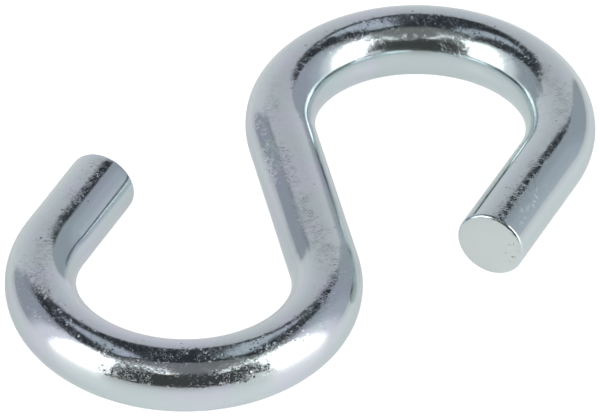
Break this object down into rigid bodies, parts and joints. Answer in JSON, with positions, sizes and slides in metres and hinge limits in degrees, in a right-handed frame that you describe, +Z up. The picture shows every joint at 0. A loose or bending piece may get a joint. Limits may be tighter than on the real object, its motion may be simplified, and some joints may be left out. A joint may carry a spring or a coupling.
{
  "type": "s hook",
  "caption": "S-shaped hook bent from round plated wire. Its open ends curl back towards the shank, and it hangs a load from a rail, ring or chain.",
  "frame": {"origin": "under the middle of the shank, on the surface that the hook lies on", "axes": "+Y along the load line, from the lower bend's centre to the upper bend's centre; +Z up, square to the plane of the hook, so that the wire draws the letter S seen from above; +X to the right of that S"},
  "size_m": [0.0464, 0.0792, 0.008],
  "materials": {
    "zinc_plate": "bright zinc plate on steel wire, reflective, with fine pits and handling scuffs"
  },
  "bodies": {
    "root": {"hook": "zinc_plate"}
  },
  "joints": []
}
